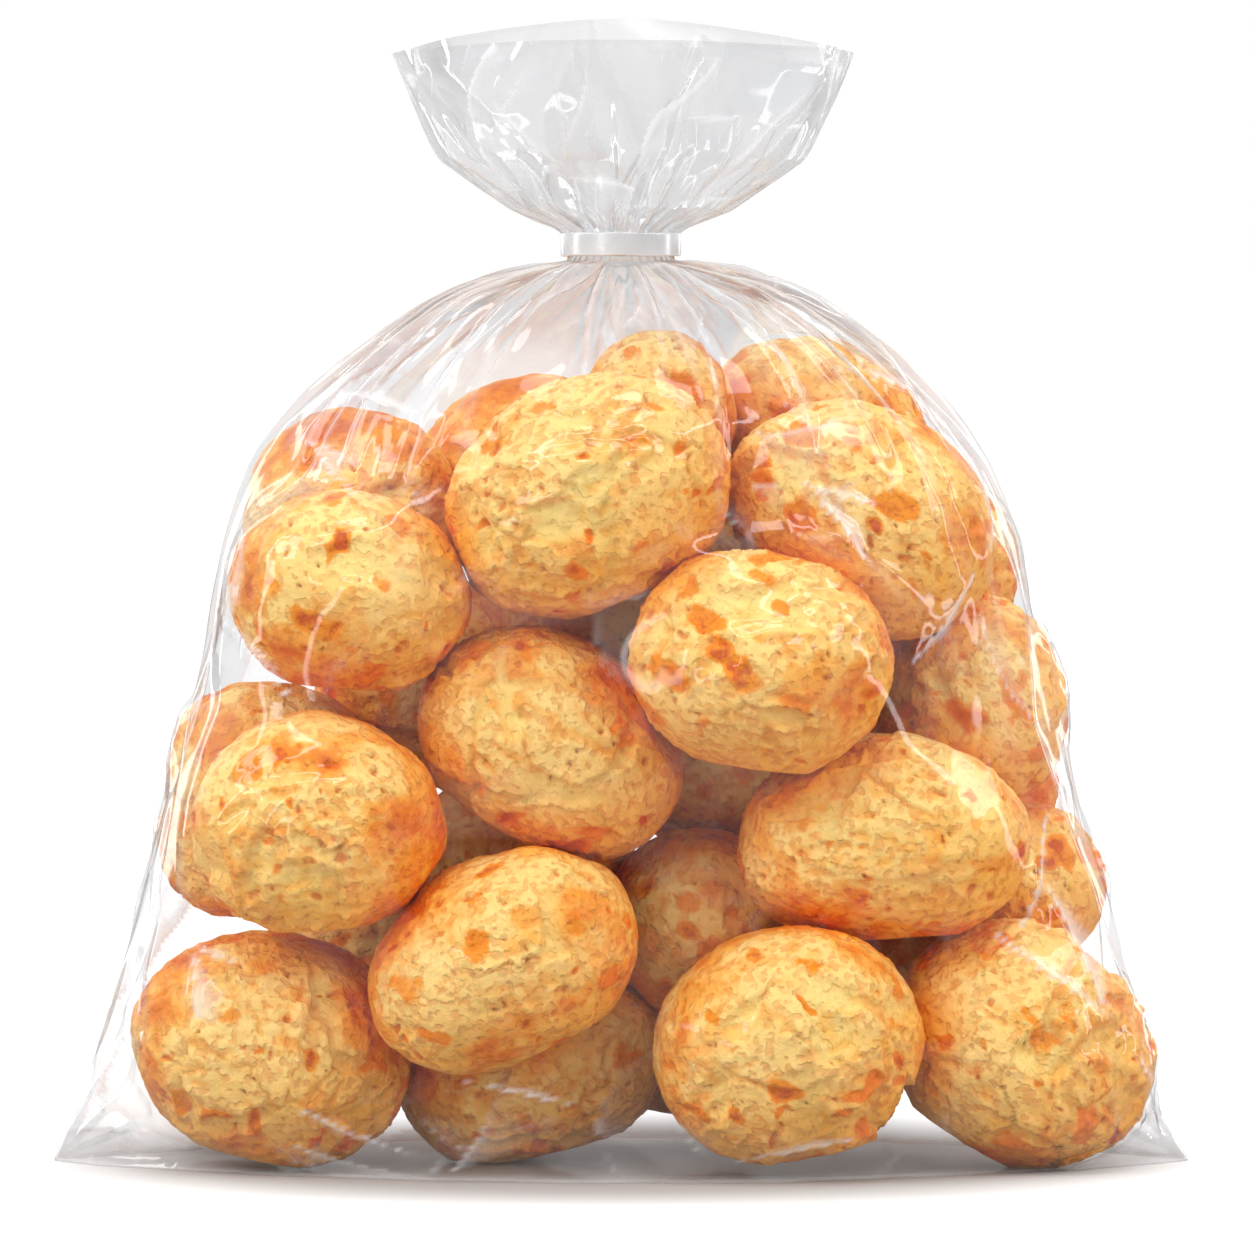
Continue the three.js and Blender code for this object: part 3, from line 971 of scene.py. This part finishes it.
def filmRelief(angle, place, reachOut, taut):
    rows, columns = reachOut.shape
    grid = place.reshape(rows, columns, 3)
    steps = np.linalg.norm(np.diff(grid, axis=0), axis=2).mean(1)
    down = np.append(np.cumsum(steps[::-1])[::-1], 0)[:, None]
    radius = np.linalg.norm(np.roll(grid, -1, axis=1) - grid, axis=2) * columns / (2 * math.pi)
    wobble = noiseGrid(grid, 34, 5)
    wobbleUp = noiseGrid(grid, 34, 6)
    turn = angle[None] / (2 * math.pi)
    sideways = np.abs(np.cos(angle))[None]

    relief, paintedRidgeLines = neckCreases(angle, down, blur(radius, 4))
    kinks, white = dartRelief(grid)
    relief += kinks
    shoulder = ease(8, 30, down) * (1 - ease(75, 120, down)) * (1 - 0.7 * ease(0.9, 1, sideways))
    flank = ease(0.74, 0.9, sideways) * (1 - 0.6 * ease(0.95, 1, sideways)) * ease(30, 60, down)
    foot = 1 - ease(4, 22, grid[..., 2])
    loose = (0.12 + 0.85 * shoulder + 0.7 * flank + 0.45 * foot) * (1 - 0.75 * taut)
    paintedRidgeLines *= 1 - 0.6 * taut * ease(20, 60, down)
    bigPlace = turn * 17 + wobble * 0.5, down / 30 + wobbleUp * 0.4
    smallPlace = turn * 42 + wobble * 0.9, down / 12 + wobbleUp * 0.7
    big = facets(*bigPlace, 17, 21)
    small = facets(*smallPlace, 42, 22)
    bigTone, bigGlint = facetMarks(*bigPlace, 17, 21, 0.34)
    smallTone, smallGlint = facetMarks(*smallPlace, 42, 22, 0.22)
    relief += loose * ease(4, 24, down) * (2.0 * big + 0.6 * small)

    # loose lengthwise folds along both sides, and the fans at the corners
    for line, tall in ((0.42, 1.5), (-0.46, 1.6), (0.80, 1.0), (-0.72, 0.9)):
        for side in (0, math.pi):
            sign = math.cos(side)
            fold = side + sign * line + 0.16 * wobble
            near = np.clip(1 - turnGap(angle[None], fold) * radius / (6 + 3 * wobbleUp), 0, 1)
            relief += tall * near * ease(50, 90, down) * (1 - 0.6 * foot)
    for sign in (-1, 1):
        relief += cornerCreases(grid, sign, wobble)
    hemAndPaintedGlint = 1 - ease(0, 9, grid[..., 2])
    crinkle = 1.3 * noiseGrid(grid, 15, 12) + 0.9 * noiseGrid(grid, 6, 13)
    relief += hemAndPaintedGlint * crinkle * (1 - ease(0.9, 1, sideways))

    ears = ease(88, 108, np.abs(grid[..., 0])) * (1 - ease(20, 45, grid[..., 2]))
    lowBand = (1 - ease(5, 15, grid[..., 2])) * (0.6 + 0.4 * small)
    gathered = 0.85 * (1 - ease(4, 75, down))
    foldsAndPaintedShade = gathered + 0.18 * ease(30, 90, down) * (1 - ease(110, 150, down)) + 0.1 * ears
    # painted shade: a random darker tint on each crumpled facet of the flanks, shoulders and corners
    foldsAndPaintedShade += np.clip(0.9 * flank + shoulder + 1.3 * ears, 0, 1) * (0.22 * bigTone + 0.12 * smallTone)
    foldsAndPaintedShade *= 1 - 0.65 * taut * ease(10, 40, down)
    # darker where the small facets stand out, and the low band darker still: painted shade under the bag
    foldsAndPaintedShade = np.clip(foldsAndPaintedShade * (1 + 0.3 * small) + 0.08 * foot + 0.5 * lowBand, 0, 1)
    # painted glints on some facets
    glints = np.maximum(0.8 * bigGlint, 0.5 * smallGlint) * ease(2, 14, down) * (1 - 0.85 * taut)
    glints *= np.clip(loose - 0.05 + 0.8 * ears + 0.6 * lowBand, 0, 1)
    # a painted highlight line along the bottom edge
    paintedBottomLine = (1 - ease(0.3, 1.6, grid[..., 2])) * 0.6
    paintedGlints = np.maximum.reduce([paintedRidgeLines, white * 0.9, paintedBottomLine, glints])
    return relief, {"foldsAndPaintedShade": foldsAndPaintedShade, "hemAndPaintedGlint": paintedGlints, "open": foldsAndPaintedShade * 0}


def farthestNear(reachOut):
    # each ray takes the farthest reach among its neighbours: the angle wraps round, the rows don't
    rows = np.concatenate([reachOut[:1], reachOut, reachOut[-1:]])
    highest = np.maximum.reduce([rows[:-2], rows[1:-1], rows[2:]])
    return np.maximum.reduce([np.roll(highest, 1, 1), highest, np.roll(highest, -1, 1)])


def makeBodyFilm(shells, material):
    columns = film["columns"]
    angle = np.linspace(0, 2 * math.pi, columns, endpoint=False)
    origins, ways = filmRays(angle)
    rows = len(origins) // columns
    starts = np.cumsum([0] + [len(points) for points, quads in shells])
    ballTree = treeOf(np.concatenate([points for points, quads in shells]),
                      np.concatenate([quads + start for (points, quads), start in zip(shells, starts)]))
    cad, hull, covered = [outermost(tree, origins, ways, film["rayReach"]).reshape(rows, columns)
                          for tree in (shoulderTree(), hullTree(shells), ballTree)]
    print("film rays cast:", rows, "rows")

    cad = np.where(cad < 1, hull, cad)
    draped = hull - film["sag"] * blur(np.clip(hull - covered, 0, 26), 12)
    height = (origins[:, 2] + ways[:, 2] * cad.ravel()).reshape(rows, columns)
    side = ease(0.80, 0.97, np.abs(np.cos(angle)))[None]
    share = np.maximum(side, ease(118, 150, height))
    reachOut = blur(draped * (1 - share) + np.maximum(cad, hull - 3) * share, 4)
    place = origins + ways * reachOut.reshape(-1, 1)
    taut = blur((1 - ease(3, 16, reachOut - covered)) * (covered > 1), 3)
    relief, masks = filmRelief(angle, place, reachOut, taut)
    # where it presses on a ball the film rounds off softly instead of cutting in
    bumps = farthestNear(covered)
    touching = np.where(bumps > 1, bumps + film["clearance"], reachOut - 40)
    free = (reachOut + relief - touching) / film["soften"]
    reachOut = touching + film["soften"] * np.logaddexp(0, free)
    place = origins + ways * reachOut.reshape(-1, 1)
    grid = place.reshape(rows, columns, 3)
    grid[0, :, 2] = film["lowest"]
    grid[..., 2] = np.maximum(grid[..., 2], film["lowest"])

    # the film runs on up through the band, and a flat underside closes the bag
    neckRows = []
    for height in (neckLow + 0.5, (neckLow + neckHigh) / 2, neckHigh - 0.4):
        fold = 1 - 0.07 + 0.05 * triangleWave(angle * 19 / math.pi)
        wide, deep = film["neckWide"] * fold, film["neckDeep"] * fold
        neckRows.append(np.column_stack([wide * np.cos(angle), deep * np.sin(angle), angle * 0 + height]))
    under = [grid[0] * (1, part, 1) for part in (0, 0.35, 0.7, 0.97)]
    layers = np.concatenate([np.stack(under), grid, np.stack(neckRows)])
    quads = ringQuads(len(layers), columns)
    for label, values in masks.items():
        below, above = np.repeat(values[:1] * 0, len(under), 0), np.repeat(values[-1:], len(neckRows), 0)
        masks[label] = np.concatenate([below, values, above]).ravel()
    print("film bag:", len(quads) * 2, "triangles")
    return meshPiece("film_bag", layers.reshape(-1, 3), quads, material, masks)


def ringQuads(rows, columns):
    index = np.arange(rows * columns).reshape(rows, columns)
    ahead = np.roll(index, -1, axis=1)
    return np.stack([index[:-1], ahead[:-1], ahead[1:], index[1:]], -1).reshape(-1, 4)


ruffle = {
    "columns": 430,
    "rows": 96,
    # half width, half depth and height above the band of the flaring film, in mm
    "flare": [(10.2, 5.8, -1.4), (12.6, 7.4, 0.8), (20.9, 10.4, 4.2), (34.8, 14.4, 14.0),
              (36.4, 14.9, 16.4), (41.2, 16.6, 26), (44.9, 17.6, 35)],
    "rounding": 2,        # how often the corners of that outline are eased
    "arch": 7.1,          # the rim stands this much higher at the middle of the back
    "archFront": 0.33,    # share of that at the front
    "creases": 60,
}


def curveThrough(stations, count):
    # a run through the stations, evenly spaced, with its corners eased a little
    knots = np.array(stations, float)
    along = np.append(0, np.cumsum(np.linalg.norm(np.diff(knots, axis=0), axis=1)))
    spots = np.linspace(0, along[-1], count)
    line = np.stack([np.interp(spots, along, knots[:, axis]) for axis in range(3)], 1)
    for _ in range(ruffle["rounding"]):
        line[1:-1] = (line[:-2] + 2 * line[1:-1] + line[2:]) / 4
    return line


def makeRuffle(material):
    columns, rows = ruffle["columns"], ruffle["rows"]
    angle = np.linspace(0, 2 * math.pi, columns, endpoint=False)
    turn = angle[None] / (2 * math.pi)
    flare = curveThrough(ruffle["flare"], rows)
    up = np.linspace(0, 1, rows)[:, None]
    across, along = np.cos(angle)[None], np.sin(angle)[None]
    lens = np.sign(along) * np.abs(along) ** (1 + 0.4 * up)
    front = ruffle["archFront"]
    arch = ruffle["arch"] * up ** 1.5 * (1 - across ** 2) * ((1 + front) / 2 + (1 - front) / 2 * along)
    base = np.stack([flare[:, :1] * across, flare[:, 1:2] * lens, neckHigh + flare[:, 2:] + arch], -1)
    wobble = noiseGrid(base, 20, 8)
    wobbleUp = noiseGrid(base, 20, 9)

    panelPlace = turn * 11 + wobble * 0.35, up * 1.7 + wobbleUp * 0.2 + 0.35
    chipPlace = turn * 24 + wobble * 0.6, up * 4.0 + wobbleUp * 0.5
    panels = facets(*panelPlace, 11, 46)
    chips = facets(*chipPlace, 24, 42)
    panelTone, panelGlint = facetMarks(*panelPlace, 11, 46, 0.7)
    chipTone, chipGlint = facetMarks(*chipPlace, 24, 42, 0.45)
    crumple = facets(turn * 52 + wobble, up * 9 + wobbleUp, 52, 43)
    crushed = ease(-0.1, 0.6, noiseGrid(base, 24, 10))
    relief = 4.6 * panels * ease(0.12, 0.55, up) + 1.7 * chips * ease(0.05, 0.3, up)
    relief += (0.15 + 0.4 * crushed) * crumple * ease(0.05, 0.3, up)
    draw = np.random.default_rng(5)
    paintedRidgeLines = np.zeros((rows, columns))
    for _ in range(ruffle["creases"]):
        line = draw.uniform(0, 2 * math.pi) + draw.normal(0, 0.25) * up
        stop = draw.uniform(0.25, 1.05)
        tall = draw.uniform(0.6, 2.2) * draw.choice([-1, 1])
        wide = draw.uniform(0.03, 0.11) * (1.3 - 0.5 * up)
        fade = ease(-0.05, 0.14, up) * (1 - ease(stop * 0.5, stop, up))
        off = turnGap(angle[None], line)
        relief += tall * fade * np.clip(1 - off / wide, 0, 1)
        paintedRidgeLines = np.maximum(paintedRidgeLines, fade * np.clip(1 - off / 0.025, 0, 1) * abs(tall) / 2)
    relief *= 1 - 0.75 * np.abs(across) ** 10
    outward = np.stack([across + up * 0, along + up * 0], -1)
    grid = base.copy()
    grid[..., :2] += outward * relief[..., None]
    quads = ringQuads(rows, columns)
    # the rim gets a thin white line, and painted highlights run along the ridges and over some facets
    rim = np.repeat(ease(0.98, 1.0, up) * 0.2, columns, axis=1)
    inner = ease(0.04, 0.2, up)
    chipShine = 0.8 * chipGlint * inner * (0.25 + 0.75 * crushed)
    hemAndPaintedGlint = np.maximum.reduce([rim, paintedRidgeLines, 0.95 * panelGlint * inner, chipShine])
    # painted shade: a random darker tint on each facet and by the crumple; darker towards the band and at the
    # rim
    foldsAndPaintedShade = 0.30 + 0.42 * panelTone + 0.22 * chipTone + 0.2 * (1 - ease(0, 0.4, up)) + 0.08 * crumple
    foldsAndPaintedShade = np.clip(foldsAndPaintedShade + 0.5 * ease(0.975, 1, up), 0, 1)
    print("film ruffle:", len(quads) * 2, "triangles")
    masks = {"hemAndPaintedGlint": hemAndPaintedGlint.ravel(), "foldsAndPaintedShade": foldsAndPaintedShade.ravel(), "open": foldsAndPaintedShade.ravel() * 0 + 1}
    return meshPiece("film_ruffle", grid.reshape(-1, 3), quads, material, masks)


band = {"wall": 0.9, "round": 0.28, "steps": 160}


def makeBand(material):
    outWide = bandHigh.x / mm
    outDeep = bandHigh.y / mm
    low, high = neckLow, neckHigh
    wall, soft = band["wall"], band["round"]
    # rounded section of the strap: distance in from the outside, and height
    section = []
    for middleIn, middleUp, first in ((soft, high - soft, 90), (wall - soft, high - soft, 0),
                                      (wall - soft, low + soft, -90), (soft, low + soft, -180)):
        for step in range(5):
            swing = math.radians(first + 90 - step * 22.5)
            section.append((middleIn + soft * math.cos(swing), middleUp + soft * math.sin(swing)))
    angle = np.linspace(0, 2 * math.pi, band["steps"], endpoint=False)
    wave = 0.12 * np.sin(3 * angle + 1) + 0.08 * np.sin(7 * angle)
    rings = []
    for inward, height in section:
        rings.append(np.stack([(outWide - inward) * np.cos(angle), (outDeep - inward) * np.sin(angle),
                               height + wave * 0.6], 1))
    rings = np.stack(rings)
    count = len(rings)
    index = np.arange(count * band["steps"]).reshape(count, band["steps"])
    ahead = np.roll(index, -1, axis=1)
    above, aboveAhead = np.roll(index, -1, axis=0), np.roll(ahead, -1, axis=0)
    quads = np.stack([index, ahead, aboveAhead, above], -1).reshape(-1, 4)
    return meshPiece("flat_band", rings.reshape(-1, 3), quads[:, ::-1], material)


scene.view_settings.view_transform = "Standard"
scene.cycles.transparent_max_bounces = 20
scene.cycles.max_bounces = 5
scene.cycles.diffuse_bounces = 3
scene.cycles.glossy_bounces = 1
scene.cycles.use_light_tree = False
makeCamera()
makeLights()
makeWorld()
makeFloor()
print("studio ready")

speckle = makeSpeckleGroup()
crustMaterial = makeCrustMaterial(speckle)
filmMaterial = makeFilmMaterial(speckle)
bandMaterial = makeBandMaterial(speckle)

balls, shells = makeBalls(crustMaterial)
bagFilm = makeBodyFilm(shells, filmMaterial)
ruffleFilm = makeRuffle(filmMaterial)
bandPiece = makeBand(bandMaterial)

for piece in balls:
    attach(piece, "root")
    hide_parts("filled_bag")
for piece in (bagFilm, ruffleFilm):
    piece.visible_diffuse = False  # bounced light passes the film unchanged, which saves render time
    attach(piece, "root")
    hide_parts("filled_bag")
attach(bandPiece, "root")
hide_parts("neck_band")
print("pieces placed")
